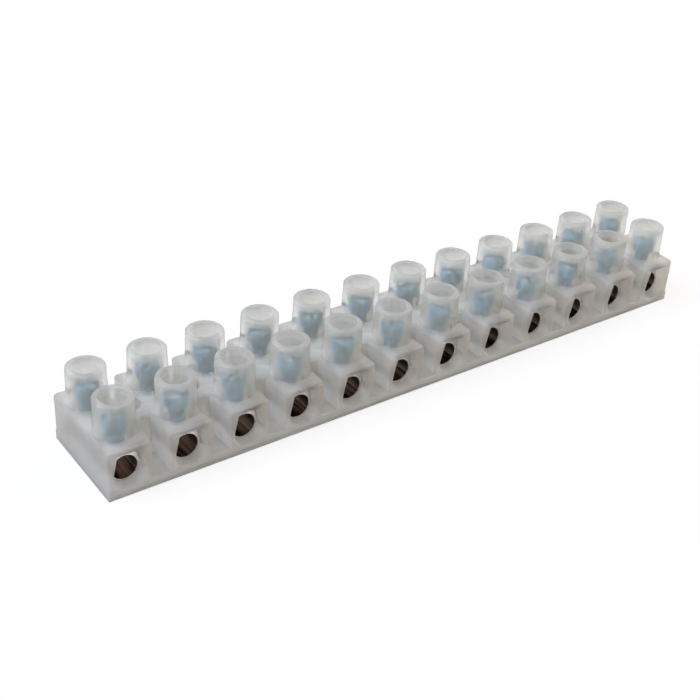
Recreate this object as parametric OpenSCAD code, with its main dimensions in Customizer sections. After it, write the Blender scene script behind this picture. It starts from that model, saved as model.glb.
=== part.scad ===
// Screw connector strip with pillar terminals.
// One moulded insulator carries a row of clamping terminals: each pole is a metal tube
// with a wire entry at either end and two slotted screws that stand in open towers.
// The strip runs along X, the wires enter along Y and the screws turn about Z.
// The origin is the middle of the underside.

/* [Strip] */
// Number of poles
poles = 12; // [2:1:16]
// Distance from one pole to the next
pitch = 10; // [9:0.1:14]
// Depth of the strip, from one wire entry face to the other
strip_d = 18.2; // [17:0.1:24]
// Thickness of the web that joins the feet of the blocks
web_t = 1.8; // [1.2:0.1:2.6]
// Plastic under each terminal
floor_t = 1.3; // [0.8:0.1:2.5]

/* [Blocks] */
// Width of one pole's block along the strip
block_w = 7.2; // [6.8:0.1:8]
// Plastic over each terminal, up to the block's flat top
roof_t = 1.5; // [1.4:0.1:3]
// Radius of the rounded edges along the sides of a block's top
side_edge_r = 1.3; // [0.2:0.1:1.4]
// Radius of the rounded shoulders over the wire entries
shoulder_r = 1.4; // [0.4:0.1:1.4]
// Radius of the upright corners of a block
corner_r = 0.4; // [0.1:0.1:0.8]

/* [Spine] */
// Width of the spine that joins the blocks along the middle
spine_w = 6.2; // [5.6:0.1:7]
// Radius of the fillet between the web and the spine
spine_fillet_r = 2; // [0.5:0.1:2.4]
// Radius of the rounded edges of the spine's top
spine_edge_r = 0.9; // [0.2:0.1:1.2]
// Radius of the fixing holes through the spine
fixing_hole_r = 1.5; // [1:0.05:1.8]

/* [Towers] */
// Distance from a wire entry face to the centreline of its tower
tower_setback = 4.6; // [4.4:0.1:4.9]
// Height of a tower above its block
tower_h = 5.9; // [5:0.1:8]
// Wall of a tower at its mouth
tower_wall = 0.85; // [0.5:0.05:1]
// Extra wall at the foot of a tower, which lets it leave the mould
tower_draft = 0.15; // [0:0.05:0.25]
// Radius of the rounded lip of a tower
lip_r = 0.3; // [0.1:0.05:0.35]

/* [Wire entries] */
// Depth of an entry, from the face of the block to the end of the terminal
entry_d = 2; // [1:0.1:3]
// How far the mouth of an entry stands outside the terminal's outline
entry_flare = 0.3; // [0.1:0.05:0.5]

/* [Terminals] */
// Radius of the wire bore through a terminal
wire_bore_r = 2.05; // [1.7:0.05:2.15]
// Wall round the lower half of the wire bore
terminal_wall = 0.35; // [0.25:0.05:0.45]
// Metal over the wire bore, which holds the screw threads
thread_seat_t = 1.45; // [1:0.05:2]
// Width of a terminal's flat top
terminal_top_w = 3.3; // [3:0.1:3.6]
// Gap between a terminal's upper part and its channel
channel_gap = 0.1; // [0.05:0.05:0.2]

/* [Screws] */
// Radius of a screw's shank over its threads
shank_r = 1.3; // [1:0.05:1.4]
// Length of a screw below its head
shank_len = 3.8; // [3:0.1:5]
// Radius of a screw's head
head_r = 1.9; // [1.6:0.05:2.1]
// Height of a screw's head
head_h = 2.1; // [1.5:0.1:2.6]
// Width of the slot in a screw's head
slot_w = 0.7; // [0.4:0.05:1]
// Depth of the slot in a screw's head
slot_d = 1.1; // [0.6:0.1:1.4]
// Chamfer on the edges of a screw
screw_chamfer = 0.25; // [0.1:0.05:0.4]
// Running clearance between a shank and its threaded hole
thread_gap = 0.05; // [0.02:0.01:0.1]
// Clearance between a screw's head and its tower
head_gap = 0.3; // [0.2:0.05:0.4]
// Height of an open screw's tip above the wire bore
tip_lift = 0.1; // [0:0.05:0.5]

/* [Hidden] */
strip_len = (poles - 1) * pitch + block_w;
terminal_len = strip_d - 2 * entry_d;
terminal_r = wire_bore_r + terminal_wall;
bore_z = floor_t + terminal_r;
terminal_top = wire_bore_r + thread_seat_t;
block_h = bore_z + terminal_top + channel_gap + roof_t;
driver_bore_r = head_r + head_gap;
tower_r = driver_bore_r + tower_wall;
tower_top = block_h + tower_h;
screw_z = bore_z + wire_bore_r + tip_lift;
pole_numbers = [1:poles];
sides = ["front", "rear"];
slot_turn = 67;
eps = 0.01;
$fn = 64;

plastic = [0.80, 0.81, 0.78, 0.85];
nickel_brass = [0.78, 0.74, 0.66];
zinc_steel = [0.66, 0.71, 0.75];

function two_digits(i) = str(i < 10 ? "0" : "", i);
function terminal_name(i) = str("terminal_", two_digits(i));
function screw_name(side, i) = str("screw_", side, "_", two_digits(i));
function pole_x(i) = (i - (poles + 1) / 2) * pitch;
function side_y(side) = (side == "front" ? -1 : 1) * (strip_d / 2 - tower_setback);
// Angle at which a line from the point [x, y] touches a circle of radius r about the origin
function touch_angle(x, y, r) = atan2(y, x) - acos(r / norm([x, y]));

// ---- Shapes that several pieces share ----

// Extrudes a profile drawn in X and Z along Y, centred on Y = 0
module along_y(length) {
    rotate([90, 0, 0]) linear_extrude(length, center = true) children();
}

// Extrudes a profile drawn in Y and Z along X, centred on X = 0
module along_x(length) {
    rotate([90, 0, 90]) linear_extrude(length, center = true) children();
}

// Upright profile w wide and h high, with its two top corners rounded
module arched_profile(w, h, r) {
    translate([-w / 2, 0]) square([w, h - r]);
    translate([r - w / 2, 0]) square([w - 2 * r, h]);
    for (x = [r - w / 2, w / 2 - r]) translate([x, h - r]) circle(r);
}

// Rectangle w by d with all four corners rounded
module rounded_rectangle(w, d, r) {
    square([w - 2 * r, d], center = true);
    square([w, d - 2 * r], center = true);
    for (x = [r - w / 2, w / 2 - r], y = [r - d / 2, d / 2 - r]) translate([x, y]) circle(r);
}

// Upper part of a terminal's outline about the bore axis: a flat top, and sides that
// lean out until they touch the round lower part. grow sets the outline further out.
module keystone_profile(grow) {
    half_w = terminal_top_w / 2 + grow;
    top = terminal_top + grow;
    r = terminal_r + grow;
    touch = touch_angle(half_w, top, r);
    polygon([
        [half_w, top], [r * cos(touch), r * sin(touch)],
        [-r * cos(touch), r * sin(touch)], [-half_w, top]
    ]);
}

// Solid with a terminal's outline, along Y about the bore axis. Its upper part stands
// top_grow further out than the terminal's own.
module terminal_form(top_grow) {
    rotate([90, 0, 0]) cylinder(h = terminal_len, r = terminal_r, center = true);
    along_y(terminal_len) keystone_profile(top_grow);
}

// ---- Housing ----

module block_body() {
    intersection() {
        along_y(strip_d) arched_profile(block_w, block_h, side_edge_r);
        along_x(block_w) arched_profile(strip_d, block_h, shoulder_r);
        linear_extrude(block_h) rounded_rectangle(block_w, strip_d, corner_r);
    }
}

// Tapered tower with a rounded lip; it starts inside the block's rounded shoulders
module tower_body() {
    root = block_h - shoulder_r;
    rotate_extrude() {
        polygon([
            [0, root], [tower_r + tower_draft, root], [tower_r + tower_draft, block_h],
            [tower_r, tower_top - lip_r], [tower_r - lip_r, tower_top], [0, tower_top]
        ]);
        translate([tower_r - lip_r, tower_top - lip_r]) circle(lip_r);
    }
}

module spine_body() {
    along_x(strip_len) {
        arched_profile(spine_w, block_h, spine_edge_r);
        difference() {
            translate([-spine_w / 2 - spine_fillet_r, 0])
                square([spine_w + 2 * spine_fillet_r, web_t + spine_fillet_r]);
            for (y = [-1, 1])
                translate([y * (spine_w / 2 + spine_fillet_r), web_t + spine_fillet_r])
                    circle(spine_fillet_r);
        }
    }
}

// Channel that holds a terminal; its round floor is the terminal's own seat
module terminal_channel() {
    translate([0, 0, bore_z]) terminal_form(channel_gap);
}

// Wire entry: a keystone over a funnel that narrows to the terminal's end
module wire_entry() {
    entry_y = strip_d / 2 - entry_d / 2;
    translate([0, entry_y, bore_z]) {
        along_y(entry_d + 2 * eps) keystone_profile(entry_flare);
        rotate([-90, 0, 0])
            cylinder(h = entry_d + 2 * eps, r1 = terminal_r, r2 = terminal_r + entry_flare, center = true);
    }
}

module driver_bore() {
    translate([0, 0, bore_z]) cylinder(h = tower_top - bore_z + eps, r = driver_bore_r);
}

module housing() {
    color(plastic) difference() {
        union() {
            translate([-strip_len / 2, -strip_d / 2, 0]) cube([strip_len, strip_d, web_t]);
            spine_body();
            for (i = pole_numbers) translate([pole_x(i), 0, 0]) {
                block_body();
                for (side = sides) translate([0, side_y(side), 0]) tower_body();
            }
        }
        for (i = pole_numbers) translate([pole_x(i), 0, 0]) {
            terminal_channel();
            for (turn = [0, 180]) rotate([0, 0, turn]) wire_entry();
            for (side = sides) translate([0, side_y(side), 0]) driver_bore();
        }
        for (i = [1:poles - 1])
            translate([pole_x(i) + pitch / 2, 0, -eps])
                cylinder(h = block_h + 2 * eps, r = fixing_hole_r);
    }
}

// ---- Terminals ----

module terminal(i) {
    color(nickel_brass) translate([pole_x(i), 0, bore_z]) difference() {
        terminal_form(0);
        rotate([90, 0, 0]) cylinder(h = terminal_len + 2 * eps, r = wire_bore_r, center = true);
        for (side = sides)
            translate([0, side_y(side), 0])
                cylinder(h = terminal_top + eps, r = shank_r + thread_gap);
    }
}

// ---- Screws ----

// Slotted screw standing on its tip at the origin
module slotted_screw() {
    head_top = shank_len + head_h;
    difference() {
        rotate_extrude() polygon([
            [0, 0], [shank_r - screw_chamfer, 0], [shank_r, screw_chamfer],
            [shank_r, shank_len], [head_r, shank_len],
            [head_r, head_top - screw_chamfer], [head_r - screw_chamfer, head_top], [0, head_top]
        ]);
        translate([-head_r - eps, -slot_w / 2, head_top - slot_d])
            cube([2 * (head_r + eps), slot_w, slot_d + eps]);
    }
}

module screw(side, i) {
    turn = slot_turn * (side == "front" ? i : i + poles);
    color(zinc_steel) translate([pole_x(i), side_y(side), screw_z])
        rotate([0, 0, turn]) slotted_screw();
}

// ---- The strip ----

housing();
for (i = pole_numbers) {
    terminal(i);
    for (side = sides) {
        screw(side, i);
    }
}
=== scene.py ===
"""Dresses the screw connector strip: milky plastic, plated terminals and threaded screws."""

import logging
import math
from dataclasses import dataclass
from enum import Enum

import bmesh
import bpy
from mathutils import Matrix, Vector


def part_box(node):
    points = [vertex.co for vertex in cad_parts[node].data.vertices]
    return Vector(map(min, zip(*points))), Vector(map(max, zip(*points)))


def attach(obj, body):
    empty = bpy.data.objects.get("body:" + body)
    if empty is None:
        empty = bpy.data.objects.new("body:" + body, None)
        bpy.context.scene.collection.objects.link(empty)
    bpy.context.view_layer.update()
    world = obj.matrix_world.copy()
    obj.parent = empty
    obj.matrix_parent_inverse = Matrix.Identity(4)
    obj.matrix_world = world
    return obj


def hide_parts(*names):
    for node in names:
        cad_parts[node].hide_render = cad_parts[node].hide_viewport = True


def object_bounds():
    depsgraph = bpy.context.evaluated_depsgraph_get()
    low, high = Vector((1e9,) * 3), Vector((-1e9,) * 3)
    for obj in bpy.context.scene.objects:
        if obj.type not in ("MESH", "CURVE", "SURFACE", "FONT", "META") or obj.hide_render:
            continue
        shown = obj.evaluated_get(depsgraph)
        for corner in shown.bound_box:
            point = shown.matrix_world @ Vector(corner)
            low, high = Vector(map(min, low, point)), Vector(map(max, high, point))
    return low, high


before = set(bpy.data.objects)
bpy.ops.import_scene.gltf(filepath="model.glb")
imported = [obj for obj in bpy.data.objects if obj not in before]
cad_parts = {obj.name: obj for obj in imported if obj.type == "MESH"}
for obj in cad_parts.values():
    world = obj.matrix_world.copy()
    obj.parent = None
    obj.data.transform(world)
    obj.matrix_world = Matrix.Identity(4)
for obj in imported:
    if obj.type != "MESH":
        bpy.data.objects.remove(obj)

LOG = logging.getLogger("strip")
MM = 0.001
MERGE = 0.0005 * MM
UP = Vector((0, 0, 1))
WHITE = (1.0, 1.0, 1.0, 1.0)
CAD_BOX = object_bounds()
TERMINALS = [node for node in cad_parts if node.startswith("terminal_")]
SCREWS = [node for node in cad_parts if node.startswith("screw_")]


class Side(Enum):
    """The two rows of towers, as they stand in the nodes' names."""

    FRONT = "front"
    REAR = "rear"


class Slot(Enum):
    """The material slots that the record gives."""

    INSULATOR = "insulator"
    TERMINAL = "terminal_metal"
    SCREW = "screw_steel"


class Zone(Enum):
    """The parts of the moulding that let different shares of light through.

    SOLID is the foot and the blocks, ROOF the blocks' shoulders and tops, WALL the towers, LIP the
    band round their mouths, and BORE the inside of the towers and of the fixing holes.
    """

    SOLID = "solid"
    ROOF = "roof"
    WALL = "wall"
    LIP = "lip"
    BORE = "bore"


# ---- Materials ----


def hex_to_linear(code: str) -> tuple[float, float, float, float]:
    """Turns an sRGB hex colour into a linear one.

    Args:
        code: Six hex digits.

    Returns:
        Linear red, green, blue and an alpha of 1.
    """
    channels = [int(code[i : i + 2], 16) / 255 for i in (0, 2, 4)]
    linear = [c / 12.92 if c <= 0.04045 else ((c + 0.055) / 1.055) ** 2.4 for c in channels]
    return (*linear, 1.0)


def add_node(
    tree: bpy.types.NodeTree,
    kind: str,
    settings: dict[str, object] | None = None,
    inputs: dict[str | int, object] | None = None,
) -> bpy.types.Node:
    """Adds one node, sets it up and links it.

    Args:
        tree: The node tree to add to.
        kind: The node's type name, without its ShaderNode prefix.
        settings: Values of the node's own properties.
        inputs: For each input, by name or number, a value or the socket to link from.

    Returns:
        The new node.
    """
    node = tree.nodes.new("ShaderNode" + kind)
    for name, value in (settings or {}).items():
        setattr(node, name, value)
    for name, value in (inputs or {}).items():
        if isinstance(value, bpy.types.NodeSocket):
            tree.links.new(value, node.inputs[name])
        else:
            node.inputs[name].default_value = value
    return node


def new_material(name: str) -> tuple[bpy.types.Material, bpy.types.NodeTree]:
    """Makes an empty node material.

    Args:
        name: The material's name.

    Returns:
        The material and its node tree.
    """
    material = bpy.data.materials.new(name)
    material.use_nodes = True
    material.node_tree.nodes.clear()
    return material, material.node_tree


def two_tones(
    tree: bpy.types.NodeTree,
    place: bpy.types.NodeSocket,
    size_mm: float,
    detail: float,
    tones: tuple[tuple[float, str], tuple[float, str]],
) -> tuple[bpy.types.NodeSocket, bpy.types.NodeSocket]:
    """Lays out two tones of one finish by noise.

    Args:
        tree: The node tree to add to.
        place: The socket that gives the place on the piece.
        size_mm: Size of a patch.
        detail: How many times the patches are broken up.
        tones: For the lower and the upper tone, the noise where it is whole and its hex colour.

    Returns:
        The socket of the noise and that of the colour.
    """
    inputs = {"Vector": place, "Scale": 1 / (size_mm * MM), "Detail": detail}
    noise = add_node(tree, "TexNoise", inputs=inputs).outputs["Fac"]
    ramp = add_node(tree, "ValToRGB", inputs={"Fac": noise})
    for element, (position, code) in zip(ramp.color_ramp.elements, tones):
        element.position = position
        element.color = hex_to_linear(code)
    return noise, ramp.outputs["Color"]


def backdrop_ray(tree: bpy.types.NodeTree) -> bpy.types.NodeSocket:
    """Picks out the rays that should see the plain white backdrop.

    Args:
        tree: The node tree to add to.

    Returns:
        A socket that is 1 for camera, mirrored and refracted rays, and 0 for the rest.
    """
    path = add_node(tree, "LightPath")
    seen = path.outputs["Is Camera Ray"]
    for kind in ("Is Glossy Ray", "Is Transmission Ray"):
        inputs = {0: seen, 1: path.outputs[kind]}
        seen = add_node(tree, "Math", {"operation": "MAXIMUM"}, inputs).outputs[0]
    return seen


@dataclass(frozen=True)
class MilkyPolyethylene:
    """Natural polyethylene, injection moulded: the screws show through it as soft shapes.

    It is faintly mottled and grained, with a few dark specks, and has painted shade that darkens the
    towers towards their mouths. A thin wall lets more light through than a thick one, so each zone has
    its own shares.

    Attributes:
        zone: The part of the moulding that it is for.
        transmission: Share of what lies behind that shows through.
        lamp_pass: Share of a lamp's light that goes on through, so that shadows stay soft.
        pale: Upper tone of the mottle.
        dull: Lower tone of the mottle.
        roughness: Roughness of the surface, which blurs what shows through.
        coat: Share of the skin's own gloss.
        ior: Index of refraction, near 1 because a thin wall hardly bends what shows through it.
        scatter_mm: How far red, green and blue light spread inside.
        mouth_shade: Colour of the painted shade that darkens the towers towards their mouths.
        mouth_shade_mm: Heights where the painted shade starts and where it is whole.
        mottle_at: Noise where the lower and the upper tone are whole.
        relief: Share of the grain's height that shows.
    """

    zone: Zone
    transmission: float
    lamp_pass: float = 1.0
    pale: str = "e2e1dc"
    dull: str = "d8d6ce"
    roughness: float = 0.4
    coat: float = 0.4
    coat_roughness: float = 0.3
    coat_ior: float = 1.5
    ior: float = 1.05
    scatter_mm: tuple[float, float, float] = (7.0, 6.6, 5.8)
    # Painted shade that darkens the towers towards their mouths, and the heights where it starts and is
    # whole.
    mouth_shade: str = "dee1e2"
    mouth_shade_mm: tuple[float, float] = (11.7, 14.7)
    mottle_mm: float = 6.0
    mottle_at: tuple[float, float] = (0.35, 0.65)
    speck: str = "55504a"
    speck_mm: float = 0.22
    speck_gap_mm: float = 7.0
    grain_mm: float = 0.22
    grain_depth_mm: float = 0.02
    relief: float = 0.12

    def colour(self, tree: bpy.types.NodeTree, place: bpy.types.NodeSocket) -> bpy.types.NodeSocket:
        """Mixes the mottle, the specks and the painted shade towards the towers' mouths.

        Args:
            tree: The node tree to add to.
            place: The socket that gives the place on the piece.

        Returns:
            The socket of the colour.
        """
        tones = tuple(zip(self.mottle_at, (self.dull, self.pale)))
        colour = two_tones(tree, place, self.mottle_mm, detail=2.0, tones=tones)[1]
        inputs = {"Vector": place, "Scale": 1 / (self.speck_gap_mm * MM)}
        cells = add_node(tree, "TexVoronoi", inputs=inputs)
        inputs = {0: cells.outputs["Distance"], 1: self.speck_mm / 2 / self.speck_gap_mm}
        specks = add_node(tree, "Math", {"operation": "LESS_THAN"}, inputs)
        inputs = {"Fac": specks.outputs[0], "Color1": colour, "Color2": hex_to_linear(self.speck)}
        colour = add_node(tree, "MixRGB", inputs=inputs).outputs["Color"]
        # Painted shade: the towers darken towards their mouths, the higher the darker.
        height = add_node(tree, "SeparateXYZ", inputs={0: place}).outputs["Z"]
        low, high = (z * MM for z in self.mouth_shade_mm)
        inputs = {"Value": height, "From Min": low, "From Max": high}
        mouth_shading = add_node(tree, "MapRange", inputs=inputs).outputs["Result"]
        inputs = {"Fac": mouth_shading, "Color1": colour, "Color2": hex_to_linear(self.mouth_shade)}
        return add_node(tree, "MixRGB", {"blend_type": "MULTIPLY"}, inputs).outputs["Color"]

    def material(self) -> bpy.types.Material:
        """Builds the node material.

        Returns:
            The material, named for its zone.
        """
        material, tree = new_material(f"polyethylene_natural_{self.zone.value}")
        place = add_node(tree, "TexCoord").outputs["Object"]
        inputs = {"Vector": place, "Scale": 1 / (self.grain_mm * MM), "Detail": 3.0}
        grain = add_node(tree, "TexNoise", inputs=inputs).outputs["Fac"]
        inputs = {"Height": grain, "Strength": self.relief, "Distance": self.grain_depth_mm * MM}
        bump = add_node(tree, "Bump", inputs=inputs)
        shader = add_node(
            tree,
            "BsdfPrincipled",
            inputs={
                "Base Color": self.colour(tree, place),
                "Roughness": self.roughness,
                "IOR": self.ior,
                "Transmission Weight": self.transmission,
                "Subsurface Weight": 1.0,
                "Subsurface Radius": [r * MM for r in self.scatter_mm],
                "Subsurface Scale": 1.0,
                "Coat Weight": self.coat,
                "Coat Roughness": self.coat_roughness,
                "Coat IOR": self.coat_ior,
                "Normal": bump.outputs["Normal"],
            },
        )
        lamp_ray = add_node(tree, "LightPath").outputs["Is Shadow Ray"]
        share = add_node(tree, "Math", {"operation": "MULTIPLY"}, {0: lamp_ray, 1: self.lamp_pass})
        clear = add_node(tree, "BsdfTransparent", inputs={"Color": WHITE})
        inputs = {0: share.outputs[0], 1: shader.outputs["BSDF"], 2: clear.outputs["BSDF"]}
        mix = add_node(tree, "MixShader", inputs=inputs)
        add_node(tree, "OutputMaterial", inputs={"Surface": mix.outputs["Shader"]})
        return material


@dataclass(frozen=True)
class NickelPlatedBrass:
    """Extruded brass with a thin nickel plating: pale warm grey, with lines drawn along the bore.

    Attributes:
        tone_at: Noise where the brass and the plating are whole.
        squeeze: Share of the lines' pattern along the bore, which stretches them that way.
        relief: Share of the lines' depth that shows.
    """

    plate: str = "e0dcd8"
    brass: str = "c4bbb0"
    tone_at: tuple[float, float] = (0.3, 0.6)
    line_mm: float = 0.12
    line_depth_mm: float = 0.02
    squeeze: float = 0.06
    relief: float = 0.25
    roughness: float = 0.3

    def material(self) -> bpy.types.Material:
        """Builds the node material.

        Returns:
            The material.
        """
        material, tree = new_material("brass_nickel_plated")
        place = add_node(tree, "TexCoord").outputs["Object"]
        inputs = {"Vector": place, "Scale": (1.0, self.squeeze, 1.0)}
        along = add_node(tree, "Mapping", inputs=inputs).outputs["Vector"]
        tones = tuple(zip(self.tone_at, (self.brass, self.plate)))
        lines, colour = two_tones(tree, along, self.line_mm, detail=3.0, tones=tones)
        inputs = {"Height": lines, "Strength": self.relief, "Distance": self.line_depth_mm * MM}
        bump = add_node(tree, "Bump", inputs=inputs)
        inputs = {
            "Base Color": colour,
            "Metallic": 1.0,
            "Roughness": self.roughness,
            "Normal": bump.outputs["Normal"],
        }
        shader = add_node(tree, "BsdfPrincipled", inputs=inputs)
        add_node(tree, "OutputMaterial", inputs={"Surface": shader.outputs["BSDF"]})
        return material


@dataclass(frozen=True)
class DrilledBrassPaintedLight:
    """Brass as the drill left it, with painted shade and painted highlight streaks along the bore.

    Attributes:
        tone_at: Noise where the painted shade and the painted highlight are whole.
        squeeze: Share of the streaks' pattern along the bore, which stretches them that way.
        groove_mm: From one groove of the drill to the next.
        relief: Share of the grooves' depth that shows.
    """

    # Painted highlight tone and painted shade tone of the bore.
    light: str = "a58c7c"
    dark: str = "40302a"
    tone_at: tuple[float, float] = (0.42, 0.66)
    streak_mm: float = 0.9
    squeeze: float = 0.08
    groove_mm: float = 0.2
    groove_depth_mm: float = 0.02
    relief: float = 0.5
    roughness: float = 0.22

    def material(self) -> bpy.types.Material:
        """Builds the node material.

        Returns:
            The material.
        """
        material, tree = new_material("brass_drilled_painted_shade_and_highlights")
        place = add_node(tree, "TexCoord").outputs["Object"]
        inputs = {"Vector": place, "Scale": (1.0, self.squeeze, 1.0)}
        along = add_node(tree, "Mapping", inputs=inputs).outputs["Vector"]
        # Painted light: the dark tone is painted shade in the bore, and the light tone lies in streaks
        # along it as painted highlights.
        tones = tuple(zip(self.tone_at, (self.dark, self.light)))
        colour = two_tones(tree, along, self.streak_mm, detail=2.0, tones=tones)[1]
        # The wave texture has 20 / tau bands in one unit of its vector, so this is one a groove.
        inputs = {"Vector": place, "Scale": math.tau / 20 / (self.groove_mm * MM)}
        grooves = add_node(tree, "TexWave", {"bands_direction": "Y"}, inputs).outputs["Fac"]
        inputs = {"Height": grooves, "Strength": self.relief, "Distance": self.groove_depth_mm * MM}
        bump = add_node(tree, "Bump", inputs=inputs)
        inputs = {
            "Base Color": colour,
            "Metallic": 1.0,
            "Roughness": self.roughness,
            "Normal": bump.outputs["Normal"],
        }
        shader = add_node(tree, "BsdfPrincipled", inputs=inputs)
        add_node(tree, "OutputMaterial", inputs={"Surface": shader.outputs["BSDF"]})
        return material


@dataclass(frozen=True)
class ZincSteel:
    """Zinc-plated steel under a passive film: a little cloudy.

    It is blue where the film is whole, and silvery where a driver has rubbed it.

    Attributes:
        metallic: Share of the bare metal, low where the film is whole.
        tone_at: Noise where the dark and the light are whole.
    """

    name: str
    light: str
    dark: str
    metallic: float
    tone_at: tuple[float, float] = (0.4, 0.62)
    cloud_mm: float = 1.2
    roughness: float = 0.3

    def material(self) -> bpy.types.Material:
        """Builds the node material.

        Returns:
            The material.
        """
        material, tree = new_material(self.name)
        place = add_node(tree, "TexCoord").outputs["Object"]
        tones = tuple(zip(self.tone_at, (self.dark, self.light)))
        colour = two_tones(tree, place, self.cloud_mm, detail=4.0, tones=tones)[1]
        inputs = {"Base Color": colour, "Metallic": self.metallic, "Roughness": self.roughness}
        shader = add_node(tree, "BsdfPrincipled", inputs=inputs)
        add_node(tree, "OutputMaterial", inputs={"Surface": shader.outputs["BSDF"]})
        return material


@dataclass(frozen=True)
class WhiteBench:
    """Matt paper on the bench: it shows white, and keeps the strip's soft shadow.

    Attributes:
        colour: Its colour for the light that it throws back up, dark so that the lamps shape the strip.
        own_light: The white that it shows of its own, in light and shadow alike.
        shown: Share of the lamps' light that it shows, which makes the shadow.
    """

    colour: str = "443f38"
    own_light: float = 0.74
    shown: float = 0.32

    def material(self) -> bpy.types.Material:
        """Builds the node material.

        Returns:
            The material.
        """
        material, tree = new_material("paper_white_matt")
        paper = add_node(tree, "BsdfDiffuse", inputs={"Color": hex_to_linear(self.colour)})
        glow = add_node(tree, "Emission", inputs={"Color": WHITE, "Strength": self.own_light})
        lit = add_node(tree, "BsdfDiffuse", inputs={"Color": (self.shown,) * 3 + (1.0,)})
        inputs = {0: glow.outputs["Emission"], 1: lit.outputs["BSDF"]}
        both = add_node(tree, "AddShader", inputs=inputs)
        inputs = {0: backdrop_ray(tree), 1: paper.outputs["BSDF"], 2: both.outputs["Shader"]}
        mix = add_node(tree, "MixShader", inputs=inputs)
        add_node(tree, "OutputMaterial", inputs={"Surface": mix.outputs["Shader"]})
        return material


# ---- Mesh helpers ----


def box_middle(node: str) -> Vector:
    """Finds the middle of a CAD node's box."""
    low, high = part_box(node)
    return (low + high) / 2


def cad_form(node: str) -> bmesh.types.BMesh:
    """Copies a CAD node's mesh and merges its loose triangles.

    Args:
        node: The CAD node.

    Returns:
        The copy as a bmesh.
    """
    form = bmesh.new()
    form.from_mesh(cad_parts[node].data)
    bmesh.ops.remove_doubles(form, verts=form.verts, dist=MERGE)
    return form


def mesh_object(name: str, form: bmesh.types.BMesh, smooth_angle: float) -> bpy.types.Object:
    """Turns a bmesh into an object at the origin, with soft shading up to an angle.

    Args:
        name: The object's name.
        form: The finished bmesh, which is freed.
        smooth_angle: Edges sharper than this, in radians, stay hard.

    Returns:
        The new object, linked to the scene.
    """
    mesh = bpy.data.meshes.new(name)
    form.to_mesh(mesh)
    form.free()
    mesh.polygons.foreach_set("use_smooth", [True] * len(mesh.polygons))
    mesh.set_sharp_from_angle(angle=smooth_angle)
    piece = bpy.data.objects.new(name, mesh)
    bpy.context.scene.collection.objects.link(piece)
    return piece


def seat(
    piece: bpy.types.Object, body: str, node: str, finishes: list[bpy.types.Material]
) -> None:
    """Puts a finished piece in a CAD node's stead.

    Args:
        piece: The new piece.
        body: The body that it moves with.
        node: The CAD node that it stands for.
        finishes: Its materials, in the order of its faces' material numbers.
    """
    for finish in finishes:
        piece.data.materials.append(finish)
    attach(piece, body)
    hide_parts(node)
    LOG.info("%s stands for %s on %s, %d faces", piece.name, node, body, len(piece.data.polygons))


# ---- Housing ----


@dataclass
class Housing:
    """The moulded insulator, from the CAD solid, with softly shaded walls.

    Attributes:
        mouth_h: Height of the band round each tower's mouth.
    """

    node: str = "housing"
    body: str = "strip"
    tower_h: float = 5.9 * MM
    shoulder_r: float = 1.4 * MM
    mouth_h: float = 1.2 * MM
    driver_bore_r: float = 2.2 * MM
    smooth_angle: float = math.radians(28)

    def zone(self, face: bmesh.types.BMFace, levels: list[float], axes: list[Vector]) -> Zone:
        """Tells which zone of the moulding a face belongs to.

        Args:
            face: The face.
            levels: Heights of the shoulders, of the towers' feet and of their mouths' bands.
            axes: A point on the centreline of each tower and of each fixing hole.

        Returns:
            The zone.
        """
        height = face.calc_center_median().z
        passed = sum(height > level + MERGE for level in levels)
        zone = [Zone.SOLID, Zone.ROOF, Zone.WALL, Zone.LIP][passed]
        reach = self.driver_bore_r + MERGE
        corners = [vert.co.xy for vert in face.verts]
        in_bore = any(all((corner - axis.xy).length < reach for corner in corners) for axis in axes)
        return Zone.BORE if in_bore and zone is not Zone.LIP else zone

    def build(self, plastics: dict[Zone, bpy.types.Material]) -> bpy.types.Object:
        """Builds, dresses and seats the moulding.

        Args:
            plastics: The plastic as it looks in each zone.

        Returns:
            The moulding.
        """
        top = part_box(self.node)[1].z
        foot = top - self.tower_h
        levels = [foot - self.shoulder_r, foot, top - self.mouth_h]
        form = cad_form(self.node)
        for level in levels:
            bmesh.ops.bisect_plane(
                form,
                geom=[*form.verts, *form.edges, *form.faces],
                dist=MERGE,
                plane_co=(0, 0, level),
                plane_no=UP,
            )
        poles = [box_middle(node) for node in TERMINALS]
        holes = [(left + right) / 2 for left, right in zip(poles, poles[1:])]
        axes = [box_middle(node) for node in SCREWS] + holes
        zones = list(Zone)
        for face in form.faces:
            face.material_index = zones.index(self.zone(face, levels, axes))
        piece = mesh_object("insulator_moulding", form, self.smooth_angle)
        seat(piece, self.body, self.node, [plastics[zone] for zone in zones])
        return piece


# ---- Terminals ----


@dataclass
class Terminal:
    """One metal tube with its bore and tapped holes, from the CAD solid.

    Attributes:
        number: Its pole, counted from 1.
        wall: Metal round the lower half of its bore.
    """

    number: int
    body: str = "strip"
    wall: float = 0.35 * MM
    smooth_angle: float = math.radians(28)

    def build(self, plated: bpy.types.Material, painted_bore: bpy.types.Material) -> bpy.types.Object:
        """Builds, dresses and seats the terminal.

        Args:
            plated: The finish of its outside and its ends.
            painted_bore: The finish of its bore, with painted shade and painted highlight streaks.

        Returns:
            The terminal.
        """
        node = f"terminal_{self.number:02d}"
        low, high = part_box(node)
        outer_r = (high.x - low.x) / 2
        axis = Vector(((low.x + high.x) / 2, 0, low.z + outer_r))
        bore_r = outer_r - self.wall + MERGE
        form = cad_form(node)
        for face in form.faces:
            corners = [vert.co - axis for vert in face.verts]
            face.material_index = int(all(math.hypot(c.x, c.z) < bore_r for c in corners))
        piece = mesh_object(f"pillar_tube_{self.number:02d}", form, self.smooth_angle)
        seat(piece, self.body, node, [plated, painted_bore])
        return piece


# ---- Screws ----


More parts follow.
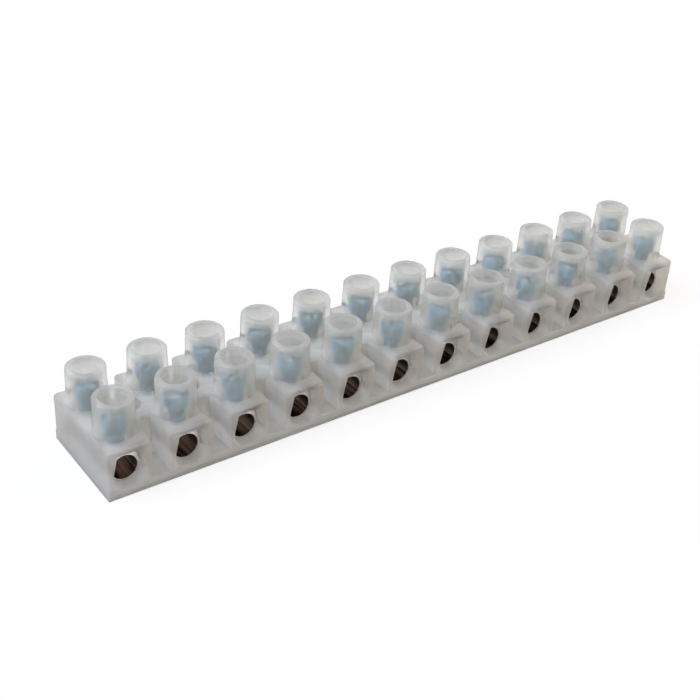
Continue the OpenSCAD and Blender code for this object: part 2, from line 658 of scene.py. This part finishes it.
@dataclass
class ClampScrew:
    """A slotted clamping screw with a rolled thread, standing where its CAD solid stands.

    Attributes:
        side: The row of towers that it stands in.
        number: Its pole, counted from 1.
        core_r: Radius of the shank between the turns of the thread.
        chamfer: Width of the bevel on the tip and on the crown.
        broken_edge: Width of the bevel under the head.
        crown_round: How far the middle of the crown's rounded edge stands in from its side and top.
        turn_step: Degrees that each screw's slot is turned on from the one before.
        around: Corners of the turned outline.
        thread_end: Plain length at either end of the thread.
        thread_sink: How deep the thread's ridge stands in the shank.
        thread_foot: Half the ridge's width at its foot, as a share of the pitch.
        thread_crest: Half the ridge's width at its crest, as a share of the pitch.
        thread_steps: Steps in one turn of the thread.
    """

    side: Side
    number: int
    head_h: float = 2.1 * MM
    shank_r: float = 1.3 * MM
    core_r: float = 1.06 * MM
    chamfer: float = 0.25 * MM
    broken_edge: float = 0.1 * MM
    crown_round: float = 0.08 * MM
    slot_w: float = 0.7 * MM
    slot_d: float = 1.1 * MM
    turn_step: float = 67.0
    around: int = 48
    thread_pitch: float = 0.5 * MM
    thread_end: float = 0.35 * MM
    thread_sink: float = 0.08 * MM
    thread_foot: float = 0.42
    thread_crest: float = 0.08
    thread_steps: int = 24
    smooth_angle: float = math.radians(32)

    def label(self) -> str:
        """The part of its names that tells it from the other screws."""
        return f"{self.side.value}_{self.number:02d}"

    def turned(self, head_r: float, tall: float) -> bmesh.types.BMesh:
        """Spins the outline of the screw about its axis, standing on its tip.

        Args:
            head_r: Radius of the head.
            tall: Height of the screw.

        Returns:
            The screw without its slot and its thread, closed and facing outwards.
        """
        shank = tall - self.head_h
        outline = [
            (0, 0),
            (self.core_r - self.chamfer, 0),
            (self.core_r, self.chamfer),
            (self.core_r, shank),
            (head_r - self.broken_edge, shank),
            (head_r, shank + self.broken_edge),
            (head_r, tall - self.chamfer),
            (head_r - self.crown_round, tall - self.crown_round),
            (head_r - self.chamfer, tall),
            (0, tall),
        ]
        form = bmesh.new()
        points = [form.verts.new((r, 0, z)) for r, z in outline]
        edges = [form.edges.new(pair) for pair in zip(points, points[1:])]
        bmesh.ops.spin(
            form,
            geom=points + edges,
            cent=(0, 0, 0),
            axis=UP,
            angle=math.tau,
            steps=self.around,
            use_merge=True,
            use_duplicate=False,
        )
        bmesh.ops.remove_doubles(form, verts=form.verts, dist=MERGE)
        bmesh.ops.recalc_face_normals(form, faces=form.faces)
        return form

    def slotted(self, form: bmesh.types.BMesh, head_r: float, tall: float) -> bmesh.types.BMesh:
        """Cuts the slot across the head.

        Args:
            form: The turned screw, which is freed.
            head_r: Radius of the head.
            tall: Height of the screw.

        Returns:
            The screw with its slot.
        """
        blank = mesh_object("screw_blank", form, self.smooth_angle)
        blade = bmesh.new()
        bmesh.ops.create_cube(blade, size=1.0)
        # The blade is longer than the head is wide, and its middle is level with the crown.
        size = (3 * head_r, self.slot_w, 2 * self.slot_d)
        bmesh.ops.scale(blade, verts=blade.verts, vec=size)
        bmesh.ops.translate(blade, verts=blade.verts, vec=(0, 0, tall))
        cutter = mesh_object("slot_cutter", blade, self.smooth_angle)
        cut = blank.modifiers.new("slot", "BOOLEAN")
        cut.operation = "DIFFERENCE"
        cut.solver = "EXACT"
        cut.object = cutter
        depsgraph = bpy.context.evaluated_depsgraph_get()
        result = bmesh.new()
        result.from_mesh(bpy.data.meshes.new_from_object(blank.evaluated_get(depsgraph)))
        for spare in (blank, cutter):
            bpy.data.objects.remove(spare)
        return result

    def thread(self, low: float, high: float) -> bpy.types.Mesh:
        """Sweeps the thread's ridge up round the core.

        Args:
            low: Height of the lowest turn.
            high: Height of the highest turn.

        Returns:
            The ridge as a closed mesh.
        """
        form = bmesh.new()
        root = self.core_r - self.thread_sink
        foot = self.thread_foot * self.thread_pitch
        crest = self.thread_crest * self.thread_pitch
        ring = [(root, -foot), (self.shank_r, -crest), (self.shank_r, crest), (root, foot)]
        face = form.faces.new([form.verts.new((r, 0, low + z)) for r, z in ring])
        turns = (high - low) / self.thread_pitch
        steps = round(turns * self.thread_steps)
        bmesh.ops.spin(
            form,
            geom=[face, *face.edges, *face.verts],
            cent=(0, 0, 0),
            axis=UP,
            dvec=(0, 0, (high - low) / steps),
            angle=turns * math.tau,
            steps=steps,
            use_duplicate=False,
        )
        bmesh.ops.recalc_face_normals(form, faces=form.faces)
        ridge = bpy.data.meshes.new("ridge")
        form.to_mesh(ridge)
        form.free()
        return ridge

    def build(self, blue: bpy.types.Material, rubbed: bpy.types.Material) -> bpy.types.Object:
        """Builds, dresses and seats the screw.

        Args:
            blue: The plated steel of its sides and its thread.
            rubbed: The plated steel of its crown and its slot, where a driver turns.

        Returns:
            The screw.
        """
        node = f"screw_{self.label()}"
        low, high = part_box(node)
        head_r = (high.x - low.x) / 2
        tall = high.z - low.z
        shank = tall - self.head_h
        form = self.slotted(self.turned(head_r, tall), head_r, tall)
        for face in form.faces:
            centre = face.calc_center_median()
            crown = centre.z > shank + self.chamfer and centre.xy.length < head_r - self.chamfer
            face.material_index = int(crown)
        form.from_mesh(self.thread(self.thread_end, shank - self.thread_end))
        order = self.number + (len(TERMINALS) if self.side is Side.REAR else 0)
        turn = Matrix.Rotation(math.radians(self.turn_step * order), 4, "Z")
        middle = box_middle(node)
        place = Matrix.Translation((middle.x, middle.y, low.z)) @ turn
        bmesh.ops.transform(form, matrix=place, verts=form.verts)
        piece = mesh_object(f"clamp_screw_{self.label()}", form, self.smooth_angle)
        seat(piece, f"clamp_{self.label()}", node, [blue, rubbed])
        return piece


# ---- Studio ----


@dataclass(frozen=True)
class Softbox:
    """A square soft lamp that faces the strip: place and size in metres, power in watts."""

    place: tuple[float, float, float]
    size: float
    power: float
    tint: str

    def hang(self, name: str) -> None:
        """Hangs the lamp.

        Args:
            name: The lamp's name.
        """
        lamp = bpy.data.lights.new(name, "AREA")
        lamp.size = self.size
        lamp.energy = self.power
        lamp.color = hex_to_linear(self.tint)[:3]
        stand = bpy.data.objects.new(name, lamp)
        stand.location = self.place
        stand.rotation_euler = (-Vector(self.place)).to_track_quat("-Z", "Y").to_euler()
        bpy.context.scene.collection.objects.link(stand)


@dataclass
class Studio:
    """The white bench, the soft lamps, the room's even light and the camera.

    Attributes:
        bench: Width of the square bench in metres.
        room: Colour of the room's light.
        room_light: Strength of the room's light.
        azimuth: Direction that the camera looks in, clockwise from +Y.
        elevation: How far down it looks.
        roll: How far it is turned about its own line of sight.
        clip_start: Nearest distance that it sees, in metres.
    """

    bench: float = 3.0
    room: str = "fcf0e2"
    room_light: float = 0.42
    softboxes: tuple[Softbox, ...] = (
        Softbox((-0.38, 0.16, 0.44), size=0.5, power=2.7, tint="d4e3ff"),
        Softbox((-0.30, -0.38, 0.22), size=0.3, power=0.2, tint="ffe8d4"),
        Softbox((0.42, 0.02, 0.18), size=0.3, power=0.7, tint="fff0e0"),
    )
    camera_mm: tuple[float, float, float] = (-113.97, -136.01, 113.32)
    azimuth: float = math.radians(37.412)
    elevation: float = math.radians(32.238)
    roll: float = math.radians(3.701)
    lens_mm: float = 62.311
    sensor_mm: float = 36.0
    clip_start: float = 0.01

    def floor(self) -> bpy.types.Object:
        """Lays the bench at the strip's foot.

        Returns:
            The bench.
        """
        form = bmesh.new()
        bmesh.ops.create_grid(form, x_segments=1, y_segments=1, size=self.bench / 2)
        bmesh.ops.translate(form, verts=form.verts, vec=(0, 0, CAD_BOX[0][2]))
        floor = mesh_object("bench", form, smooth_angle=0.0)
        floor.data.materials.append(WhiteBench().material())
        return floor

    def light(self) -> None:
        """Hangs the lamps and sets the room's even light, with the white backdrop behind it."""
        for number, softbox in enumerate(self.softboxes):
            softbox.hang(f"softbox_{number}")
        world = bpy.data.worlds.new("room")
        world.use_nodes = True
        tree = world.node_tree
        tree.nodes.clear()
        inputs = {"Color": hex_to_linear(self.room), "Strength": self.room_light}
        room = add_node(tree, "Background", inputs=inputs)
        white = add_node(tree, "Background", inputs={"Color": WHITE, "Strength": 1.0})
        inputs = {0: backdrop_ray(tree), 1: room.outputs[0], 2: white.outputs[0]}
        mix = add_node(tree, "MixShader", inputs=inputs)
        add_node(tree, "OutputWorld", inputs={"Surface": mix.outputs[0]})
        bpy.context.scene.world = world

    def camera(self) -> bpy.types.Object:
        """Sets up the camera from its azimuth, elevation and roll.

        Returns:
            The camera.
        """
        forward, down = math.cos(self.elevation), -math.sin(self.elevation)
        aim = Vector((math.sin(self.azimuth) * forward, math.cos(self.azimuth) * forward, down))
        level = Vector((math.cos(self.azimuth), -math.sin(self.azimuth), 0))
        rise = level.cross(aim)
        right = level * math.cos(self.roll) + rise * math.sin(self.roll)
        up = rise * math.cos(self.roll) - level * math.sin(self.roll)
        lens = bpy.data.cameras.new("camera")
        lens.lens = self.lens_mm
        lens.sensor_width = self.sensor_mm
        lens.clip_start = self.clip_start
        camera = bpy.data.objects.new("camera", lens)
        turn = Matrix((right, up, -aim)).transposed().to_4x4()
        camera.matrix_world = Matrix.Translation(Vector(self.camera_mm) * MM) @ turn
        bpy.context.scene.collection.objects.link(camera)
        bpy.context.scene.camera = camera
        return camera


def main() -> None:
    """Builds every sub-assembly in order, then the studio."""
    logging.basicConfig(level=logging.INFO, format="%(name)s: %(message)s")
    plastics = [
        MilkyPolyethylene(Zone.SOLID, transmission=0.45, lamp_pass=0.85, roughness=0.6),
        MilkyPolyethylene(Zone.ROOF, transmission=0.55, roughness=0.6),
        MilkyPolyethylene(Zone.WALL, transmission=0.8, pale="f4f3ef", dull="ecebe6", coat=0.2),
        MilkyPolyethylene(Zone.LIP, transmission=0.55, pale="f4f3ef", dull="ecebe6"),
        MilkyPolyethylene(Zone.BORE, transmission=0.75, pale="e2e2dd", dull="dadad3", coat=0.0),
    ]
    Housing().build({plastic.zone: plastic.material() for plastic in plastics})
    plated = NickelPlatedBrass().material()
    # The bore's finish: painted shade with painted highlight streaks.
    painted_bore = DrilledBrassPaintedLight().material()
    blue = ZincSteel("steel_zinc_blue_passivated", "52a4c6", "165a7a", metallic=0.25).material()
    rubbed = ZincSteel("steel_zinc_rubbed", "9cbed2", "3f7491", metallic=0.5).material()
    for number in range(1, len(TERMINALS) + 1):
        Terminal(number).build(plated, painted_bore)
        for side in Side:
            ClampScrew(side, number).build(blue, rubbed)
    studio = Studio()
    studio.camera()
    studio.floor()
    studio.light()
    bpy.context.scene.view_settings.view_transform = "Standard"


if __name__ == "__main__":
    main()
